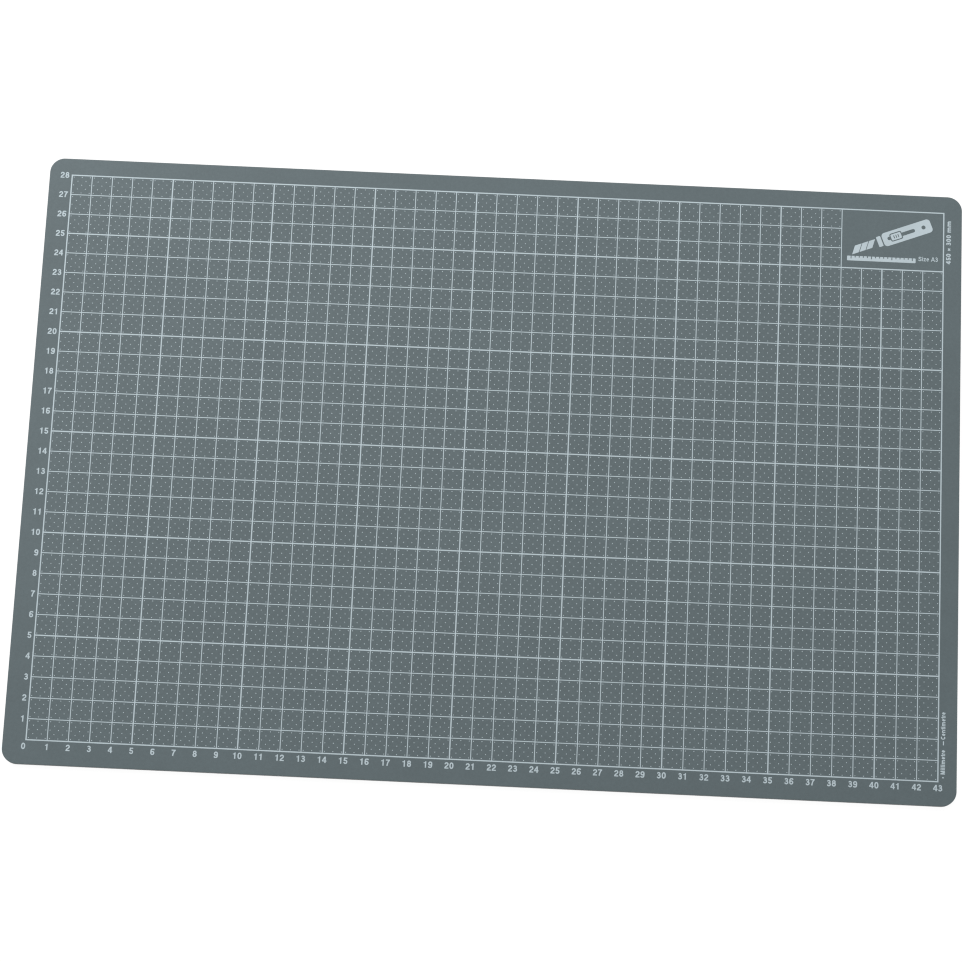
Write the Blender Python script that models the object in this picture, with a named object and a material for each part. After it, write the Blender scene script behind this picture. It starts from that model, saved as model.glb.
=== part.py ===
"""Self-healing cutting mat, A3 craft size, 450 x 300 x 3 mm.

The mat is a flat laminate of PVC plies, die-cut with rounded corners, and it
carries screen-printed ink on its upper face.  Bottom to top:

    bottom_skin           textured non-slip wear ply, lies on the bench
    lower_healing_layer   soft plasticised PVC that closes up after a cut
    core_sheet            hard ply that stops the blade
    upper_healing_layer   soft plasticised PVC under the work face
    top_skin              matt textured ply that takes the print
    major_grid_ink        printed border and 5 cm lines, one deposit of ink

Frame: metres, +Z up, origin on the underside at the middle of the mat,
+X along the long side, towards the end of the printed scale, +Y along the
short side, up the printed scale.
"""

import math

import bmesh
import bpy
from mathutils import Vector

# ------------------------------------------------------------ dimensions (m)
LENGTH = 0.450            # long side
WIDTH = 0.300             # short side
CORNER_RADIUS = 0.0072    # die-cut corners
CORNER_STEPS = 20         # facets in each corner

SKIN = 0.00036            # wear plies, top and bottom
HEALING = 0.00062         # soft plies
CORE = 0.00096            # hard middle ply
BOND = 0.00002            # fused joint between neighbouring plies

INK = 0.00004             # height of the screen-printed ink
CELL = 0.010              # printed unit, one centimetre
COLUMNS = 43              # centimetres along the long side
ROWS = 28                 # centimetres along the short side
MAJOR = 5                 # every fifth line is heavy
PANEL_COLUMNS = 5         # blank panel in the upper right corner, 5 x 3 cm
PANEL_ROWS = 3
HEAVY_LINE = 0.00058      # width of the heavy lines and the border
LEFT_MARGIN = 0.0111      # mat's left edge to the printed zero
BOTTOM_MARGIN = 0.0115    # mat's lower edge to the printed zero

MAT_TOP = 2 * SKIN + 2 * HEALING + CORE + 4 * BOND    # 3.00 mm


# ------------------------------------------------------------------ helpers
def clear_scene():
    for obj in list(bpy.data.objects):
        bpy.data.objects.remove(obj, do_unlink=True)
    for mesh in list(bpy.data.meshes):
        bpy.data.meshes.remove(mesh)


def material(name, colour, roughness, metallic=0.0):
    mat = bpy.data.materials.new(name)
    mat.use_nodes = True
    shader = mat.node_tree.nodes["Principled BSDF"]
    shader.inputs["Base Color"].default_value = (*colour, 1.0)
    shader.inputs["Roughness"].default_value = roughness
    shader.inputs["Metallic"].default_value = metallic
    mat.diffuse_color = (*colour, 1.0)
    return mat


def finish_mesh(name, bm, mat, parent, height):
    """Turns a bmesh into a named object that stands at the given height."""
    bmesh.ops.recalc_face_normals(bm, faces=bm.faces)
    mesh = bpy.data.meshes.new(name)
    bm.to_mesh(mesh)
    bm.free()
    mesh.materials.append(mat)
    obj = bpy.data.objects.new(name, mesh)
    bpy.context.scene.collection.objects.link(obj)
    obj.parent = parent
    obj.location = (0.0, 0.0, height)
    return obj


def rounded_outline(length, width, radius, steps):
    """Corner points of a rounded rectangle, counter-clockwise."""
    points = []
    centres = ((1, 1, 0), (-1, 1, 90), (-1, -1, 180), (1, -1, 270))
    for sx, sy, start in centres:
        cx = sx * (length / 2 - radius)
        cy = sy * (width / 2 - radius)
        for i in range(steps + 1):
            a = math.radians(start + 90.0 * i / steps)
            points.append((cx + radius * math.cos(a), cy + radius * math.sin(a)))
    return points


def ply(name, thickness, height, mat, parent):
    """One sheet of the laminate: the die-cut outline, extruded."""
    bm = bmesh.new()
    outline = rounded_outline(LENGTH, WIDTH, CORNER_RADIUS, CORNER_STEPS)
    base = bm.faces.new([bm.verts.new((x, y, 0.0)) for x, y in outline])
    raised = bmesh.ops.extrude_face_region(bm, geom=[base])
    bmesh.ops.translate(
        bm,
        vec=Vector((0.0, 0.0, thickness)),
        verts=[g for g in raised["geom"] if isinstance(g, bmesh.types.BMVert)],
    )
    obj = finish_mesh(name, bm, mat, parent, height)
    # the two large faces stay flat and the corners are shaded round
    obj.data.shade_smooth()
    obj.data.set_sharp_from_angle(angle=math.radians(30.0))
    return obj


def line_positions(count):
    """Centimetre marks that carry a heavy line: the ends and every fifth."""
    marks = sorted({0, count} | set(range(0, count + 1, MAJOR)))
    return marks


def in_panel(column, row):
    """True for the stretch of an upright line that would cross the panel."""
    crosses = COLUMNS - PANEL_COLUMNS < column < COLUMNS
    return crosses and ROWS - PANEL_ROWS <= row < ROWS


def heavy_grid(name, height, mat, parent):
    """The printed border and 5 cm lines as one thin body of crossing bars."""
    x0 = -LENGTH / 2 + LEFT_MARGIN
    y0 = -WIDTH / 2 + BOTTOM_MARGIN
    half = HEAVY_LINE / 2

    def edges(origin, marks):
        values = []
        for m in marks:
            values += [origin + m * CELL - half, origin + m * CELL + half]
        return values

    columns = line_positions(COLUMNS)
    rows = line_positions(ROWS)
    xs = edges(x0, columns)
    ys = edges(y0, rows)
    bm = bmesh.new()
    grid = [[bm.verts.new((x, y, 0.0)) for y in ys] for x in xs]
    faces = []
    for i in range(len(xs) - 1):
        for j in range(len(ys) - 1):
            # even steps lie inside a line, odd steps lie between two lines
            if i % 2 == 1 and j % 2 == 1:
                continue
            if j % 2 == 1 and in_panel(columns[i // 2], rows[j // 2]):
                continue
            faces.append(bm.faces.new((grid[i][j], grid[i + 1][j],
                                       grid[i + 1][j + 1], grid[i][j + 1])))
    raised = bmesh.ops.extrude_face_region(bm, geom=faces)
    bmesh.ops.translate(
        bm,
        vec=Vector((0.0, 0.0, INK)),
        verts=[g for g in raised["geom"] if isinstance(g, bmesh.types.BMVert)],
    )
    return finish_mesh(name, bm, mat, parent, height)


# -------------------------------------------------------------------- build
def main():
    clear_scene()

    mat_root = bpy.data.objects.new("mat_origin", None)
    mat_root.empty_display_size = 0.05
    bpy.context.scene.collection.objects.link(mat_root)

    skin = material("skin_pvc", (0.135, 0.160, 0.176), 0.62)
    healing = material("healing_pvc", (0.075, 0.085, 0.092), 0.55)
    core = material("core_pvc", (0.030, 0.032, 0.035), 0.45)
    ink = material("ink_white", (0.520, 0.600, 0.640), 0.50)

    stack = (
        ("bottom_skin", SKIN, skin),
        ("lower_healing_layer", HEALING, healing),
        ("core_sheet", CORE, core),
        ("upper_healing_layer", HEALING, healing),
        ("top_skin", SKIN, skin),
    )
    height = 0.0
    for name, thickness, mat in stack:
        ply(name, thickness, height, mat, mat_root)
        height += thickness + BOND
    heavy_grid("major_grid_ink", MAT_TOP, ink, mat_root)


main()
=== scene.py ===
"""The looks of the A3 self-healing cutting mat: a laminate of PVC plies with a
die-cut edge, and a screen-printed centimetre grid with millimetre dots,
numbered scales, legends and a plain knife-and-ruler emblem, all as geometry."""
import math

import bmesh
import bpy
import numpy as np
from mathutils import Matrix, Vector, geometry


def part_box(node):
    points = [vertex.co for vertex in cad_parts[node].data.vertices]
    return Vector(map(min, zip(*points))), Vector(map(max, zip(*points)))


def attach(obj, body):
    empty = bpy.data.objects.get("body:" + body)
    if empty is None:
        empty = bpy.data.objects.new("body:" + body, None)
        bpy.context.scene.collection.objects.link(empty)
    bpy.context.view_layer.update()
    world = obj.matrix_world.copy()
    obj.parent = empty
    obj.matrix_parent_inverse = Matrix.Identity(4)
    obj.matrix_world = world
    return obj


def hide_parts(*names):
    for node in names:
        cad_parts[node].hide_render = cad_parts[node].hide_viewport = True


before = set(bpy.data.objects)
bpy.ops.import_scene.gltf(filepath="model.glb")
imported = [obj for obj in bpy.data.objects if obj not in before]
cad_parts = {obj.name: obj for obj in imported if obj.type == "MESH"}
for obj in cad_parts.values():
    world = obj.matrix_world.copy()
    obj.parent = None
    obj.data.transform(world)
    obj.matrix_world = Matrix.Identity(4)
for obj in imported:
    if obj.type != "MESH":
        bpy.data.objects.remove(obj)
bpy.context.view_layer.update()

# ---------------------------------------------------------------- dimensions
MM = 0.001
CM = 0.010
COLUMNS, ROWS, MAJOR = 43, 28, 5       # printed centimetres, heavy line every 5
PANEL_COLUMNS, PANEL_ROWS = 5, 3       # blank panel in the upper right corner
HEAVY = 0.58 * MM                      # border and 5 cm lines
FINE = 0.39 * MM                       # 1 cm lines
DOT = 0.22 * MM                        # radius of the millimetre dots
CORNER = 7.2 * MM                      # radius of the die-cut corners
NUMERAL = 3.00 * MM                    # height of the scale numerals

skin_low, skin_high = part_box("top_skin")
ink_low, ink_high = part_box("major_grid_ink")
TOP = skin_high.z                      # the printed face
INK = ink_high.z - ink_low.z           # height of the ink
ZERO_X = ink_low.x + HEAVY / 2         # the printed zero
ZERO_Y = ink_low.y + HEAVY / 2


# ------------------------------------------------------------------- meshes
def add_object(name, verts, faces, mat, smooth=None):
    mesh = bpy.data.meshes.new(name)
    mesh.from_pydata([tuple(v) for v in verts], [], [tuple(f) for f in faces])
    mesh.validate()
    mesh.materials.append(mat)
    obj = bpy.data.objects.new(name, mesh)
    bpy.context.scene.collection.objects.link(obj)
    if smooth is not None:
        mesh.shade_smooth()
        mesh.set_sharp_from_angle(angle=math.radians(smooth))
    return obj


def outline(low, high, inset, radius, steps, edge_step=0.006):
    """Rounded rectangle, counter-clockwise, long runs divided evenly."""
    x0, y0, x1, y1 = low.x + inset, low.y + inset, high.x - inset, high.y - inset
    r = max(radius - inset, 0.0002)
    corners = ((x1 - r, y1 - r, 0), (x0 + r, y1 - r, 90),
               (x0 + r, y0 + r, 180), (x1 - r, y0 + r, 270))
    arcs = []
    for cx, cy, start in corners:
        arcs.append([(cx + r * math.cos(math.radians(start + 90 * i / steps)),
                      cy + r * math.sin(math.radians(start + 90 * i / steps)))
                     for i in range(steps + 1)])
    # the number of divisions comes from the full size, so that rings match
    runs = (high.x - low.x, high.y - low.y, high.x - low.x, high.y - low.y)
    points = []
    for k in range(4):
        points += arcs[k]
        a, b = arcs[k][-1], arcs[(k + 1) % 4][0]
        n = int(runs[k] / edge_step)
        points += [(a[0] + (b[0] - a[0]) * i / n, a[1] + (b[1] - a[1]) * i / n)
                   for i in range(1, n)]
    return points


def lofted_ply(name, node, mat, rings, band=None):
    """A ply of the laminate lofted through (inset, height fraction) rings.
    band adds flat rings inside the last outline, so that the rounded arris
    doesn't bend the shading of the whole face."""
    low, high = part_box(node)
    tall = high.z - low.z
    verts, faces, loops = [], [], []

    def ring(inset, z):
        start = len(verts)
        pts = outline(low, high, inset, CORNER, 28)
        verts.extend((x, y, z) for x, y in pts)
        loops.append((start, len(pts)))

    for inset, z in rings:
        ring(inset, low.z + z * tall)
    if band:
        for inset in band:
            ring(inset, high.z)
    for (a, n), (b, _) in zip(loops, loops[1:]):
        for i in range(n):
            j = (i + 1) % n
            faces.append((a + i, a + j, b + j, b + i))
    a, n = loops[0]
    faces.append(tuple(range(a + n - 1, a - 1, -1)))
    b, n = loops[-1]
    faces.append(tuple(range(b, b + n)))
    obj = add_object(name, verts, faces, mat, smooth=40)
    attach(obj, "root")
    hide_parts(node)
    return obj


def slab(parts, z0, z1):
    """Closed thin bodies from flat pieces: each is (points, faces)."""
    verts, faces = [], []
    for pts, tris in parts:
        base, n = len(verts), len(pts)
        verts += [(x, y, z0) for x, y in pts] + [(x, y, z1) for x, y in pts]
        used = {}
        for t in tris:
            for a, b in zip(t, t[1:] + t[:1]):
                used[(a, b)] = True
            faces.append(tuple(base + n + i for i in t))
            faces.append(tuple(base + i for i in reversed(t)))
        for a, b in used:
            if (b, a) not in used:
                faces.append((base + a, base + b, base + n + b, base + n + a))
    return verts, faces


# ------------------------------------------------------------ flat 2D shapes
def area2(poly):
    return sum(a[0] * b[1] - b[0] * a[1] for a, b in zip(poly, poly[1:] + poly[:1]))


def united(adds, cuts=()):
    """Union of the polygons in adds, less those in cuts, as triangles."""
    coords, faces = [], []
    for poly in list(adds) + list(cuts):
        poly = list(poly)
        if area2(poly) < 0:
            poly.reverse()
        faces.append(list(range(len(coords), len(coords) + len(poly))))
        coords += [Vector(p) for p in poly]
    out = geometry.delaunay_2d_cdt(coords, [], faces, 0, 1e-6, True)
    pts, tris, origin = out[0], out[2], out[5]
    kept = [tuple(t) for t, src in zip(tris, origin)
            if src and not any(s >= len(adds) for s in src)]
    kept = [t if area2([pts[i] for i in t]) > 0 else t[::-1] for t in kept]
    index = {}
    for t in kept:
        for i in t:
            index.setdefault(i, len(index))
    flat = [None] * len(index)
    for i, k in index.items():
        flat[k] = (pts[i][0], pts[i][1])
    return flat, [tuple(index[i] for i in t) for t in kept]


def rect(x0, y0, x1, y1):
    return [(x0, y0), (x1, y0), (x1, y1), (x0, y1)]


def rounded(x0, y0, x1, y1, r, steps=8):
    pts = []
    for cx, cy, s in ((x1 - r, y1 - r, 0), (x0 + r, y1 - r, 90),
                      (x0 + r, y0 + r, 180), (x1 - r, y0 + r, 270)):
        for i in range(steps + 1):
            a = math.radians(s + 90 * i / steps)
            pts.append((cx + r * math.cos(a), cy + r * math.sin(a)))
    return pts


def arc(cx, cy, a, b, start, end, steps=18, power=2.0):
    """Points on an ellipse, squared off a little where power is over 2."""
    pts = []
    for i in range(steps + 1):
        t = math.radians(start + (end - start) * i / steps)
        c, s = math.cos(t), math.sin(t)
        pts.append((cx + a * math.copysign(abs(c) ** (2 / power), c),
                    cy + b * math.copysign(abs(s) ** (2 / power), s)))
    return pts


def bezier(p0, p1, p2, p3, steps=12):
    pts = []
    for i in range(steps + 1):
        t = i / steps
        u = 1 - t
        pts.append(tuple(u ** 3 * a + 3 * u * u * t * b + 3 * u * t * t * c + t ** 3 * d
                         for a, b, c, d in zip(p0, p1, p2, p3)))
    return pts


def through(points, per=5):
    """Smooth curve through the points (Catmull-Rom)."""
    ext = [points[0]] + list(points) + [points[-1]]
    out = []
    for k in range(1, len(ext) - 2):
        a, b, c, d = ext[k - 1:k + 3]
        for i in range(per):
            t = i / per
            out.append(tuple(0.5 * (2 * q + (r - p) * t + (2 * p - 5 * q + 4 * r - s) * t * t
                                    + (3 * q - p - 3 * r + s) * t ** 3)
                             for p, q, r, s in zip(a, b, c, d)))
    return out + [points[-1]]


def stroke(points, width):
    """A pen stroke along the points, with square ends."""
    clean = [points[0]]
    for p in points[1:]:
        if math.dist(p, clean[-1]) > 1e-4:
            clean.append(p)
    left, right = [], []
    for i, p in enumerate(clean):
        a = clean[max(i - 1, 0)]
        b = clean[min(i + 1, len(clean) - 1)]
        dx, dy = b[0] - a[0], b[1] - a[1]
        d = math.hypot(dx, dy)
        nx, ny = -dy / d * width / 2, dx / d * width / 2
        left.append((p[0] + nx, p[1] + ny))
        right.append((p[0] - nx, p[1] - ny))
    return left + right[::-1]


# ------------------------------------------------- lettering: a plain grotesk
# Every glyph is drawn with a pen of width w on a cap height of 1, and is
# (advance, polygons to add, polygons to cut).
XH = 0.74                              # height of the small letters


def ring(cx, cy, a, b, w, power=2.0):
    return [stroke(arc(cx, cy, a, b, -5, 185, 16, power), w),
            stroke(arc(cx, cy, a, b, 175, 365, 16, power), w)]


def turned(polys, cx, cy):
    return [[(2 * cx - x, 2 * cy - y) for x, y in p] for p in polys]


def glyph(ch, w):
    h = w / 2
    top, low = 1.01 - h, h - 0.01
    cx, mid = 0.388, 0.525
    if ch == " ":
        return 0.40, [], []
    if ch == "0":
        return 0.776, ring(cx, 0.5, 0.325 - h, 0.51 - h, w, 2.25), []
    if ch == "1":
        return 0.776, [[(0.53, 0), (0.53, 1), (0.53 - 0.78 * w, 1), (0.53 - 0.95 * w, 0.90),
                        (0.27, 0.835), (0.11, 0.81), (0.11, 0.81 - 0.62 * w),
                        (0.53 - w, 0.81 - 0.62 * w), (0.53 - w, 0)]], []
    if ch == "2":
        bowl = arc(0.385, 0.695, 0.32 - h, 0.315 - h, 188, -28, 16)
        end = bowl[-1]
        tail = bezier(end, (end[0] - 0.10, end[1] - 0.19), (0.17, 0.34), (0.06 + 0.52 * w, 0.4 * w), 8)
        return 0.776, [stroke(bowl + tail[1:], w), rect(0.055, 0, 0.71, 0.88 * w)], []
    if ch == "3":
        up = arc(0.378, (top + mid) / 2, 0.285 - h, (top - mid) / 2, 170, -90, 16)
        down = arc(0.385, (mid + low) / 2, 0.325 - h, (mid - low) / 2, 90, -170, 16)
        return 0.776, [stroke(up + [(0.27, mid)], 0.92 * w), stroke([(0.27, mid)] + down, w)], []
    if ch == "4":
        bar, foot, right = 0.78 * w, 0.225, 0.62
        p, q = (0.035, foot + bar), (right - w, 1.0)
        dx, dy = q[0] - p[0], q[1] - p[1]
        d = math.hypot(dx, dy)
        ox, oy = dy / d * 0.85 * w, -dx / d * 0.85 * w
        s0 = (p[1] - p[1] - oy) / dy
        a = (p[0] + ox + dx * s0, p[1])
        s1 = (right - w - p[0] - ox) / dx
        b = (right - w, p[1] + oy + dy * s1)
        return 0.776, [[(0.035, foot), (right - w, foot), (right - w, 0), (right, 0), (right, 1),
                        q, p], rect(right - 0.02, foot, 0.74, foot + bar)], \
            [[a, (right - w, p[1]), b]]
    if ch == "5":
        hi = 0.665 - h
        bowl = arc(0.38, (hi + low) / 2, 0.325 - h, (hi - low) / 2, 142, -168, 18)
        return 0.776, [stroke(bowl, w), rect(0.145, 1 - 0.88 * w, 0.68, 1),
                       [(0.145, 1), (0.145 + 0.9 * w, 1), (0.10 + 0.98 * w, 0.50), (0.095, 0.465)]], []
    if ch in "69":
        hi = 0.66 - h
        polys = ring(cx, (hi + low) / 2, 0.325 - h, (hi - low) / 2, w)
        side = bezier((0.063 + h, 0.30), (0.063 + h, 0.78), (0.18, top), (0.40, top), 12)
        cap = bezier((0.40, top), (0.53, top), (0.61, 0.93), (0.635, 0.765), 7)
        polys.append(stroke(side + cap[1:], w))
        return 0.776, polys if ch == "6" else turned(polys, cx, 0.5), []
    if ch == "7":
        leg = bezier((0.63, 1 - 0.5 * w), (0.43, 0.72), (0.31, 0.38), (0.275, 0.0), 10)
        return 0.776, [rect(0.065, 1 - 0.88 * w, 0.715, 1), stroke(leg, w)], []
    if ch == "8":
        return 0.776, ring(cx, (top + mid) / 2, 0.29 - h, (top - mid) / 2, 0.94 * w) + \
            ring(cx, (mid + low) / 2, 0.325 - h, (mid - low) / 2, w), []
    if ch == "M":
        return 1.163, [rect(0.09, 0, 0.09 + w, 1), rect(1.073 - w, 0, 1.073, 1),
                       [(0.09, 1), (0.58 - 0.5 * w, 0), (0.58 + 0.5 * w, 0), (0.09 + 1.3 * w, 1)],
                       [(1.073, 1), (1.073 - 1.3 * w, 1), (0.58 - 0.5 * w, 0), (0.58 + 0.5 * w, 0)]], []
    if ch == "i":
        return 0.388, [rect(0.194 - h, 0, 0.194 + h, XH), rect(0.194 - h, 1 - 0.9 * w, 0.194 + h, 1)], []
    if ch == "l":
        return 0.388, [rect(0.194 - h, 0, 0.194 + h, 1)], []
    if ch in "mn":
        stems = (0.09, 0.09 + 0.43, 0.09 + 0.86) if ch == "m" else (0.09, 0.56)
        polys = [rect(stems[0], 0, stems[0] + w, XH)]
        for a, b in zip(stems, stems[1:]):
            polys.append(stroke([(b + h, 0)] + arc((a + b) / 2 + h, 0.43, (b - a) / 2,
                                                   XH + 0.01 - h - 0.43, 0, 165, 12), w))
        return stems[-1] + w + 0.09, polys, []
    if ch == "e":
        a, b = 0.31 - h, 0.38 - h
        return 0.777, [stroke(arc(cx, 0.37, a, b, -42, -365, 22), w),
                       rect(cx - a, 0.37 - 0.4 * w, cx + a + 0.4 * h, 0.37 + 0.4 * w)], []
    if ch == "t":
        return 0.46, [stroke([(0.15 + h, 0.93), (0.15 + h, 0.3)] +
                             bezier((0.15 + h, 0.22), (0.15 + h, 0.06), (0.24, 0.95 * h), (0.42, 0.95 * h), 8), w),
                      rect(0.02, XH - 0.8 * w, 0.41, XH)], []
    if ch == "r":
        return 0.54, [rect(0.09, 0, 0.09 + w, XH),
                      stroke(bezier((0.09 + h, 0.40), (0.09 + h, 0.62), (0.26, XH - h), (0.50, XH - h), 8), w)], []
    if ch == "C":
        return 1.0, [stroke(arc(0.53, 0.5, 0.45 - h, 0.51 - h, 42, 318, 22), w)], []
    if ch == "S":
        pts = [(0.79, 0.71), (0.67, 0.87), (0.45, 1.005 - h), (0.24, 0.87), (0.19, 0.72), (0.27, 0.60),
               (0.46, 0.525), (0.67, 0.44), (0.75, 0.29), (0.68, 0.13), (0.45, h - 0.005), (0.21, 0.13),
               (0.11, 0.30)]
        return 0.90, [stroke(through(pts), w)], []
    if ch == "z":
        return 0.70, [rect(0.05, XH - 0.85 * w, 0.64, XH), rect(0.04, 0, 0.66, 0.85 * w),
                      stroke([(0.64 - 0.55 * w, XH - 0.4 * w), (0.05 + 0.6 * w, 0.4 * w)], w)], []
    if ch == "A":
        return 1.0, [[(0.01, 0), (0.01 + 1.08 * w, 0), (0.5 + 0.5 * w, 1), (0.5 - 0.5 * w, 1)],
                     [(0.99, 0), (0.5 + 0.5 * w, 1), (0.5 - 0.5 * w, 1), (0.99 - 1.08 * w, 0)],
                     rect(0.2, 0.24, 0.8, 0.24 + 0.8 * w)], []
    if ch == "x":                      # the multiplication sign
        return 0.80, [stroke([(0.17, 0.14), (0.63, 0.60)], 0.9 * w),
                      stroke([(0.17, 0.60), (0.63, 0.14)], 0.9 * w)], []
    raise ValueError("no glyph for " + repr(ch))


GLYPHS = {}


def lettering(text, cap, w, at, anchor="left", turn=0.0, fit=None):
    """The text as flat parts in metres. at is the baseline's start, middle or
    end in metres; turn is in degrees; fit stretches the line to a length."""
    pen, placed = 0.0, []
    for ch in text:
        if (ch, w) not in GLYPHS:
            advance, adds, cuts = glyph(ch, w)
            GLYPHS[(ch, w)] = (advance, united(adds, cuts) if adds else None)
        advance, shape = GLYPHS[(ch, w)]
        if shape:
            placed.append((pen, shape))
        pen += advance
    xs = [x + p for p, (pts, _) in placed for x, y in pts]
    left, right = min(xs), max(xs)
    stretch = fit / (cap * (right - left)) if fit else 1.0
    shift = {"left": left, "centre": pen / 2, "right": pen - 0.063}[anchor]
    c, s = math.cos(math.radians(turn)), math.sin(math.radians(turn))
    parts = []
    for p, (pts, tris) in placed:
        moved = []
        for x, y in pts:
            u, v = (x + p - shift) * cap * stretch, y * cap
            moved.append((at[0] + u * c - v * s, at[1] + u * s + v * c))
        parts.append((moved, tris))
    return parts


# ---------------------------------------------------------------- materials
def principled(name, roughness=0.5, specular=0.4):
    mat = bpy.data.materials.new(name)
    mat.use_nodes = True
    nt = mat.node_tree
    shader = nt.nodes["Principled BSDF"]
    shader.inputs["Roughness"].default_value = roughness
    shader.inputs["Specular IOR Level"].default_value = specular
    return mat, nt, shader


def noise(nt, scale, detail=2.0, rough=0.5, stretch=None, kind="TEX_NOISE"):
    coord = nt.nodes.new("ShaderNodeTexCoord")
    source = coord.outputs["Object"]
    if stretch:
        mapping = nt.nodes.new("ShaderNodeMapping")
        mapping.inputs["Scale"].default_value = stretch
        nt.links.new(source, mapping.inputs["Vector"])
        source = mapping.outputs["Vector"]
    tex = nt.nodes.new("ShaderNodeTexNoise")
    tex.inputs["Scale"].default_value = scale
    tex.inputs["Detail"].default_value = detail
    tex.inputs["Roughness"].default_value = rough
    nt.links.new(source, tex.inputs["Vector"])
    return tex.outputs["Fac"]


def spread(nt, value, low, high, from_low=0.3, from_high=0.7):
    node = nt.nodes.new("ShaderNodeMapRange")
    node.inputs["From Min"].default_value = from_low
    node.inputs["From Max"].default_value = from_high
    node.inputs["To Min"].default_value = low
    node.inputs["To Max"].default_value = high
    nt.links.new(value, node.inputs["Value"])
    return node.outputs["Result"]


def times(nt, a, b):
    node = nt.nodes.new("ShaderNodeMath")
    node.operation = "MULTIPLY"
    nt.links.new(a, node.inputs[0])
    nt.links.new(b, node.inputs[1])
    return node.outputs[0]


def tinted(nt, colour, factor):
    """The colour made lighter or darker by the factor."""
    node = nt.nodes.new("ShaderNodeVectorMath")
    node.operation = "SCALE"
    node.inputs[0].default_value = colour
    nt.links.new(factor, node.inputs["Scale"])
    return node.outputs["Vector"]


def bumped(nt, shader, height, strength, distance, under=None):
    node = nt.nodes.new("ShaderNodeBump")
    node.inputs["Strength"].default_value = strength
    node.inputs["Distance"].default_value = distance
    nt.links.new(height, node.inputs["Height"])
    if under is not None:
        nt.links.new(under, node.inputs["Normal"])
    nt.links.new(node.outputs["Normal"], shader.inputs["Normal"])
    return node.outputs["Normal"]


def pvc_face(name, colour, grain=3300.0, mottle=0.03, speck=0.085, bump=0.55):
    """Matt calendered PVC: fine even grain, faint clouding."""
    mat, nt, shader = principled(name, 0.58, 0.42)
    clouds = spread(nt, noise(nt, 11.0, 3.0, 0.55), 1 - mottle, 1 + mottle)
    patches = spread(nt, noise(nt, 95.0, 2.0, 0.5), 1 - mottle * 0.6, 1 + mottle * 0.6)
    flecks = spread(nt, noise(nt, 780.0, 2.0, 0.6), 1 - speck * 0.5, 1 + speck * 0.5)
    specks = spread(nt, noise(nt, grain, 3.0, 0.6), 1 - speck, 1 + speck)
    factor = times(nt, times(nt, clouds, patches), times(nt, flecks, specks))
    nt.links.new(tinted(nt, colour, factor), shader.inputs["Base Color"])
    nt.links.new(spread(nt, noise(nt, grain * 0.5, 2.0), 0.52, 0.66), shader.inputs["Roughness"])
    first = bumped(nt, shader, noise(nt, grain * 1.25, 2.5, 0.65), bump, 0.00005)
    second = bumped(nt, shader, noise(nt, grain * 0.4, 2.0, 0.6), bump * 0.3, 0.00005, under=first)
    bumped(nt, shader, noise(nt, 160.0, 2.0), bump * 0.12, 0.00008, under=second)
    return mat


def cut_edge(name, colour, roughness=0.42):
    """The die-cut side of a ply: fine upright drag marks from the blade."""
    mat, nt, shader = principled(name, roughness, 0.45)
    drag = noise(nt, 900.0, 3.0, 0.6, stretch=(1.0, 1.0, 0.12))
    cloud = noise(nt, 140.0, 2.0)
    factor = times(nt, spread(nt, drag, 0.88, 1.12), spread(nt, cloud, 0.94, 1.06))
    nt.links.new(tinted(nt, colour, factor), shader.inputs["Base Color"])
    nt.links.new(spread(nt, drag, roughness - 0.06, roughness + 0.10), shader.inputs["Roughness"])
    bumped(nt, shader, drag, 0.30, 0.00005)
    return mat


def screen_ink(name, colour, varied=0.04):
    """Opaque screen-print ink on grained PVC."""
    mat, nt, shader = principled(name, 0.5, 0.42)
    coat = spread(nt, noise(nt, 70.0, 3.0, 0.55), 1 - varied, 1 + varied)
    grain = spread(nt, noise(nt, 2600.0, 2.0, 0.6), 1 - varied, 1 + varied)
    nt.links.new(tinted(nt, colour, times(nt, coat, grain)), shader.inputs["Base Color"])
    nt.links.new(spread(nt, noise(nt, 1500.0, 2.0), 0.44, 0.58), shader.inputs["Roughness"])
    bumped(nt, shader, noise(nt, 1800.0, 2.0, 0.6), 0.18, 0.00003)
    return mat


SKIN_COLOUR = (0.1025, 0.1345, 0.1445)
INK_COLOUR = (0.475, 0.560, 0.600)

skin_mat = pvc_face("skin_pvc_grey", SKIN_COLOUR)
under_mat = pvc_face("underside_pvc_grey", (0.092, 0.121, 0.130), grain=1900.0, bump=0.8)
healing_mat = cut_edge("healing_pvc_cut", (0.060, 0.067, 0.072))
core_mat = cut_edge("core_pvc_cut", (0.026, 0.027, 0.030), 0.36)
ink_mat = screen_ink("white_ink", INK_COLOUR)

# ------------------------------------------------------------- the laminate
R = 0.18 * MM                          # arris of the die-cut face
lofted_ply("mat_underside", "bottom_skin", under_mat,
           [(0.25 * MM, 0.0), (0.09 * MM, 0.0), (0.03 * MM, 0.12), (0.0, 0.34), (0.0, 0.9), (0.02 * MM, 1.0)])
lofted_ply("healing_ply_lower", "lower_healing_layer", healing_mat,
           [(0.03 * MM, -0.02), (0.0, 0.10), (-0.02 * MM, 0.5), (0.0, 0.90), (0.03 * MM, 1.02)])
lofted_ply("core_ply", "core_sheet", core_mat,
           [(0.04 * MM, -0.01), (0.015 * MM, 0.06), (0.02 * MM, 0.5), (0.015 * MM, 0.94), (0.04 * MM, 1.01)])
lofted_ply("healing_ply_upper", "upper_healing_layer", healing_mat,
           [(0.03 * MM, -0.02), (0.0, 0.10), (-0.02 * MM, 0.5), (0.0, 0.90), (0.03 * MM, 1.02)])
tall = skin_high.z - skin_low.z
arris = [(R * (1 - math.cos(math.radians(a))), 1 - R / tall * (1 - math.sin(math.radians(a))))
         for a in (0, 22.5, 45, 67.5, 90)]
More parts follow.
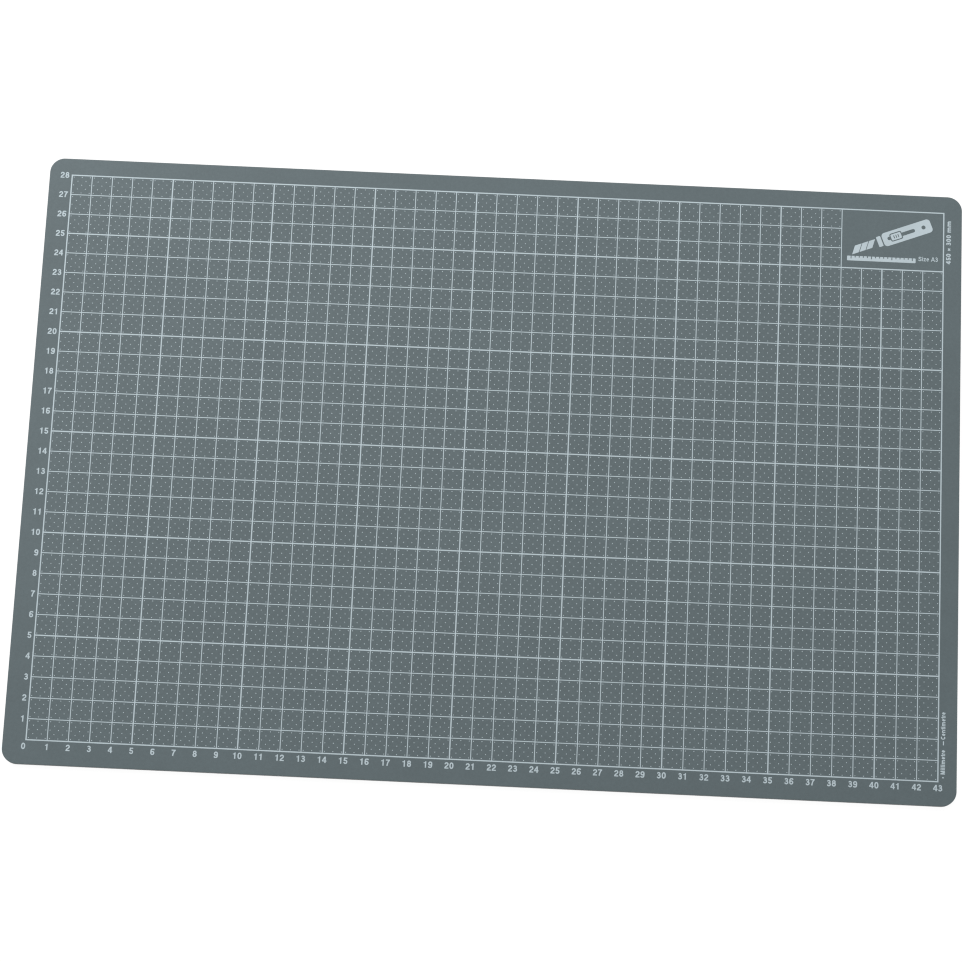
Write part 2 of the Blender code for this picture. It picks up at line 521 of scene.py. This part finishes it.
lofted_ply("mat_face", "top_skin", skin_mat,
           [(0.02 * MM, 0.0), (0.0, 0.08)] + arris, band=(0.6 * MM, 1.4 * MM))


# ------------------------------------------------------------ printed lines
def heavy(mark, count):
    return mark % MAJOR == 0 or mark == count


def line_edges(origin, count):
    """Both edges of every printed line, in order."""
    values = []
    for m in range(count + 1):
        half = (HEAVY if heavy(m, count) else FINE) / 2
        values += [origin + m * CM - half, origin + m * CM + half]
    return values


def printed_grid():
    """All lines as one body: heavy border and 5 cm lines, fine 1 cm lines."""
    xs, ys = line_edges(ZERO_X, COLUMNS), line_edges(ZERO_Y, ROWS)
    panel_x, panel_y = COLUMNS - PANEL_COLUMNS, ROWS - PANEL_ROWS
    index, pts, quads = {}, [], []

    def corner(i, j):
        if (i, j) not in index:
            index[(i, j)] = len(pts)
            pts.append((xs[i], ys[j]))
        return index[(i, j)]

    for i in range(len(xs) - 1):
        for j in range(len(ys) - 1):
            if i % 2 and j % 2:
                continue               # open between the lines
            # right of the panel's left line, above its lower line, and short
            # of the border: nothing is printed
            if 2 * panel_x < i < 2 * COLUMNS and 2 * panel_y < j < 2 * ROWS:
                continue
            quads.append((corner(i, j), corner(i + 1, j), corner(i + 1, j + 1), corner(i, j + 1)))
    return pts, quads


verts, faces = slab([printed_grid()], TOP, TOP + INK)
grid_ink = add_object("grid_lines", verts, faces, ink_mat)
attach(grid_ink, "root")
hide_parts("major_grid_ink")


# --------------------------------------------------------- millimetre dots
DOTS = ((1, 1), (5, 1), (9, 1), (3, 3), (7, 3), (1, 5), (5, 5), (9, 5),
        (3, 7), (7, 7), (1, 9), (5, 9), (9, 9))


def millimetre_dots(first, last):
    """Low round beads of ink, thirteen to the square centimetre, for the
    columns from first to last."""
    centres = []
    for cx in range(first, last):
        for cy in range(ROWS):
            if cx >= COLUMNS - PANEL_COLUMNS and cy >= ROWS - PANEL_ROWS:
                continue
            centres += [(ZERO_X + cx * CM + dx * MM, ZERO_Y + cy * CM + dy * MM) for dx, dy in DOTS]
    sides = 8
    unit = [(math.cos(2 * math.pi * (k + 0.5) / sides), math.sin(2 * math.pi * (k + 0.5) / sides))
            for k in range(sides)]
    verts, faces = [], []
    for x, y in centres:
        b = len(verts)
        verts += [(x + DOT * c, y + DOT * s, TOP) for c, s in unit]
        verts.append((x, y, TOP + INK))
        faces += [(b + k, b + (k + 1) % sides, b + sides) for k in range(sides)]
        faces.append(tuple(b + k for k in reversed(range(sides))))
    return verts, faces


half_way = COLUMNS // 2
verts, faces = millimetre_dots(0, half_way)
dots_left = add_object("millimetre_dots_left", verts, faces, ink_mat, smooth=30)
verts, faces = millimetre_dots(half_way, COLUMNS)
dots_right = add_object("millimetre_dots_right", verts, faces, ink_mat, smooth=30)


# ---------------------------------------------------------------- numerals
PEN = 0.20                             # pen width of the numerals, of their height
left_parts, lower_parts = [], []
for n in range(1, ROWS + 1):
    left_parts += lettering(str(n), NUMERAL, PEN,
                            (ZERO_X - 1.45 * MM, ZERO_Y + n * CM - 0.5 * NUMERAL - 0.03 * MM), "right")
for n in range(COLUMNS + 1):
    shift = -1.1 * MM if n == 0 else 0.0
    lower_parts += lettering(str(n), NUMERAL, PEN,
                             (ZERO_X + n * CM + shift, ZERO_Y - 1.5 * MM - NUMERAL), "centre")
verts, faces = slab(left_parts, TOP, TOP + INK)
numerals_left = add_object("scale_numerals_left", verts, faces, ink_mat)
verts, faces = slab(lower_parts, TOP, TOP + INK)
numerals_lower = add_object("scale_numerals_lower", verts, faces, ink_mat)

# ----------------------------------------------------------------- legends
RIGHT_X = ZERO_X + COLUMNS * CM
base_x = RIGHT_X + 3.3 * MM            # baseline of the words in the margin
parts = [(arc(base_x - 0.9 * MM, ZERO_Y + 2.0 * MM, 0.38 * MM, 0.38 * MM, 0, 330, 11), [tuple(range(12))])]
parts += lettering("Millimetre", 2.1 * MM, 0.24, (base_x, ZERO_Y + 3.5 * MM), "left", 90, fit=11.5 * MM)
parts += [(rect(base_x - 1.1 * MM, ZERO_Y + 17.3 * MM, base_x - 0.6 * MM, ZERO_Y + 19.2 * MM), [(0, 1, 2, 3)])]
parts += lettering("Centimetre", 2.1 * MM, 0.24, (base_x, ZERO_Y + 20.0 * MM), "left", 90, fit=13.0 * MM)
verts, faces = slab(parts, TOP, TOP + INK)
unit_legend = add_object("unit_legend", verts, faces, ink_mat)

parts = lettering("450 x 300 mm", 2.3 * MM, 0.23, (base_x + 0.3 * MM, ZERO_Y + 254.0 * MM), "left", 90,
                  fit=22.0 * MM)
verts, faces = slab(parts, TOP, TOP + INK)
size_legend = add_object("size_legend", verts, faces, ink_mat)

parts = lettering("Size A3", 2.2 * MM, 0.18, (ZERO_X + 427.3 * MM, ZERO_Y + 255.0 * MM), "right", 0.0,
                  fit=9.6 * MM)
verts, faces = slab(parts, TOP, TOP + INK)
size_mark = add_object("size_mark", verts, faces, ink_mat)


# ------------------------------------------------------------------ emblem
def placed(part, at, turn):
    pts, tris = part
    c, s = math.cos(math.radians(turn)), math.sin(math.radians(turn))
    return [(at[0] + (x * c - y * s) * MM, at[1] + (x * s + y * c) * MM) for x, y in pts], tris


def knife_emblem():
    """A plain snap-blade craft knife over a ruler. The knife is drawn in
    millimetres with its tip at zero, pointing left, and the ruler from its
    lower left corner."""
    flat = []
    low, high, lean = -1.9, 1.9, 0.75  # lean is the slant of the blade's snap lines
    for k in range(3):
        a = 3.5 * k + (0.4 if k else 0.0)
        b = 3.5 * (k + 1)
        flat.append(united([[(a, low), (b, low), (b + (high - low) * lean, high),
                             (a + (high - low) * lean, high)]]))
    flat.append(united([rounded(14.0, -2.7, 16.2, 2.7, 0.4)]))
    flat.append(united([rounded(16.8, -3.5, 42.0, 3.5, 1.7)],
                       [rounded(19.2, -0.9, 33.5, 0.9, 0.85), rounded(20.6, -2.1, 26.8, 2.1, 0.9),
                        rounded(37.0, -1.0, 39.0, 1.0, 0.95)]))
    flat.append(united([rounded(21.1, -1.6, 26.3, 1.6, 0.6)],
                       [rect(x, -0.8, x + 0.45, 0.8) for x in (22.4, 23.5, 24.6)]))
    knife = [placed(f, (ZERO_X + 384.6 * MM, ZERO_Y + 258.7 * MM), 21.0) for f in flat]
    ticks = [rect(1.75 + 2.0 * k, 2.4 - (1.4 if k % 5 == 0 else 0.8), 2.2 + 2.0 * k, 2.5) for k in range(16)]
    ruler = placed(united([rounded(0.0, 0.0, 33.6, 2.4, 0.35)], ticks),
                   (ZERO_X + 382.8 * MM, ZERO_Y + 253.8 * MM), 0.0)
    return knife + [ruler]


verts, faces = slab(knife_emblem(), TOP, TOP + INK)
emblem = add_object("knife_emblem", verts, faces, ink_mat)

for piece in (dots_left, dots_right, numerals_left, numerals_lower, unit_legend, size_legend, size_mark, emblem):
    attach(piece, "root")

# ------------------------------------------------------------------- studio
floor_mat, floor_nt, floor_shader = principled("studio_floor", 0.9, 0.0)
floor_shader.inputs["Base Color"].default_value = (0.16, 0.16, 0.16, 1.0)
floor_shader.inputs["Emission Color"].default_value = (1.0, 1.0, 1.0, 1.0)
floor_shader.inputs["Emission Strength"].default_value = 0.92
half = 8.0
floor = add_object("studio_floor", [(-half, -half, -0.00005), (half, -half, -0.00005),
                                    (half, half, -0.00005), (-half, half, -0.00005)], [(0, 1, 2, 3)], floor_mat)

world = bpy.data.worlds.new("studio")
bpy.context.scene.world = world
world.use_nodes = True
wnt = world.node_tree
background = wnt.nodes["Background"]
background.inputs["Color"].default_value = (1.0, 1.0, 1.0, 1.0)
path = wnt.nodes.new("ShaderNodeLightPath")
seen = wnt.nodes.new("ShaderNodeMapRange")      # white behind the floor, soft fill elsewhere
seen.inputs["To Min"].default_value = 0.50
seen.inputs["To Max"].default_value = 1.0
wnt.links.new(path.outputs["Is Camera Ray"], seen.inputs["Value"])
wnt.links.new(seen.outputs["Result"], background.inputs["Strength"])


def area_light(name, at, target, size, power):
    data = bpy.data.lights.new(name, "AREA")
    data.shape = "SQUARE"
    data.size = size
    data.energy = power
    obj = bpy.data.objects.new(name, data)
    bpy.context.scene.collection.objects.link(obj)
    obj.location = at
    obj.rotation_euler = (Vector(target) - Vector(at)).to_track_quat("-Z", "Y").to_euler()
    return obj


area_light("key_softbox", (-0.72, 0.80, 1.05), (0.0, 0.0, 0.0), 0.9, 13.5)
area_light("fill_softbox", (0.60, 0.95, 0.90), (0.0, 0.0, 0.0), 0.8, 4.2)

camera_data = bpy.data.cameras.new("camera")
camera_data.sensor_width = 36.0
camera_data.lens = 103.58
camera_data.clip_start = 0.05
camera_data.clip_end = 50.0
camera = bpy.data.objects.new("camera", camera_data)
bpy.context.scene.collection.objects.link(camera)
camera.location = (0.00913, -0.29189, 1.30444)
camera.rotation_euler = tuple(math.radians(a) for a in (12.5005, 0.0421, 2.6542))
bpy.context.scene.camera = camera

bpy.context.scene.cycles.filter_width = 1.2     # crisp print, no smearing between pixels

view = bpy.context.scene.view_settings
view.view_transform = "Standard"
view.look = "None"
view.exposure = 0.0
view.gamma = 1.0
